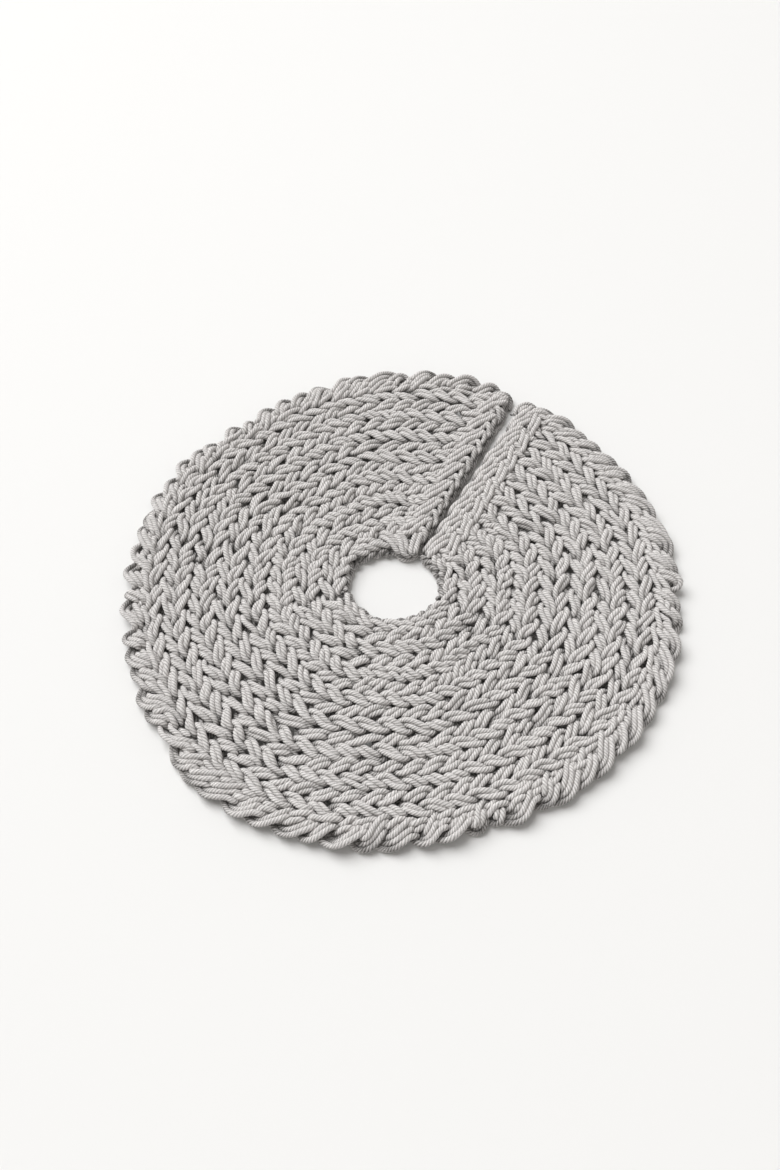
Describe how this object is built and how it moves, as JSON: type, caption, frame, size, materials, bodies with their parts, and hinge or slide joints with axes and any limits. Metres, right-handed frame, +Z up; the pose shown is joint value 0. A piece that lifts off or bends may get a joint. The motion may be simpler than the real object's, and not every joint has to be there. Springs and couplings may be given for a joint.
{
  "type": "tree skirt",
  "caption": "Flat round knitted tree skirt in thick grey yarn, with a trunk hole, one radial slit, and quarters that fold along radial lines.",
  "frame": {"origin": "middle of the skirt on the surface it lies on", "axes": "+Z up out of the knit face, +Y from the middle out along the slit"},
  "size_m": [0.4003, 0.4094, 0.0115],
  "materials": {
    "field_yarn": "matte",
    "rim_yarn": "matte",
    "neck_yarn": "matte",
    "chain_yarn": "matte"
  },
  "bodies": {
    "left_half": {"wedge_3": "field_yarn", "wedge_4": "field_yarn", "rim_3": "rim_yarn", "rim_4": "rim_yarn", "neck_3": "neck_yarn", "neck_4": "neck_yarn"},
    "left_flap": {"wedge_1": "field_yarn", "wedge_2": "field_yarn", "rim_1": "rim_yarn", "rim_2": "rim_yarn", "neck_1": "neck_yarn", "neck_2": "neck_yarn", "slit_edge_left": "chain_yarn"},
    "right_half": {"wedge_5": "field_yarn", "wedge_6": "field_yarn", "rim_5": "rim_yarn", "rim_6": "rim_yarn", "neck_5": "neck_yarn", "neck_6": "neck_yarn"},
    "right_flap": {"wedge_7": "field_yarn", "wedge_8": "field_yarn", "rim_7": "rim_yarn", "rim_8": "rim_yarn", "neck_7": "neck_yarn", "neck_8": "neck_yarn", "slit_edge_right": "chain_yarn"}
  },
  "joints": [
    {"name": "left_flap_fold", "type": "hinge", "parent": "left_half", "child": "left_flap", "pos_m": [-0.11425, 0, 0.0125], "axis": [1, 0, 0], "range_deg": [0, 170]},
    {"name": "right_half_fold", "type": "hinge", "parent": "left_half", "child": "right_half", "pos_m": [0, -0.11425, -0.001], "axis": [0, 1, 0], "range_deg": [0, 170]},
    {"name": "right_flap_fold", "type": "hinge", "parent": "right_half", "child": "right_flap", "pos_m": [0.11425, 0, 0.0125], "axis": [1, 0, 0], "range_deg": [0, 170]}
  ]
}
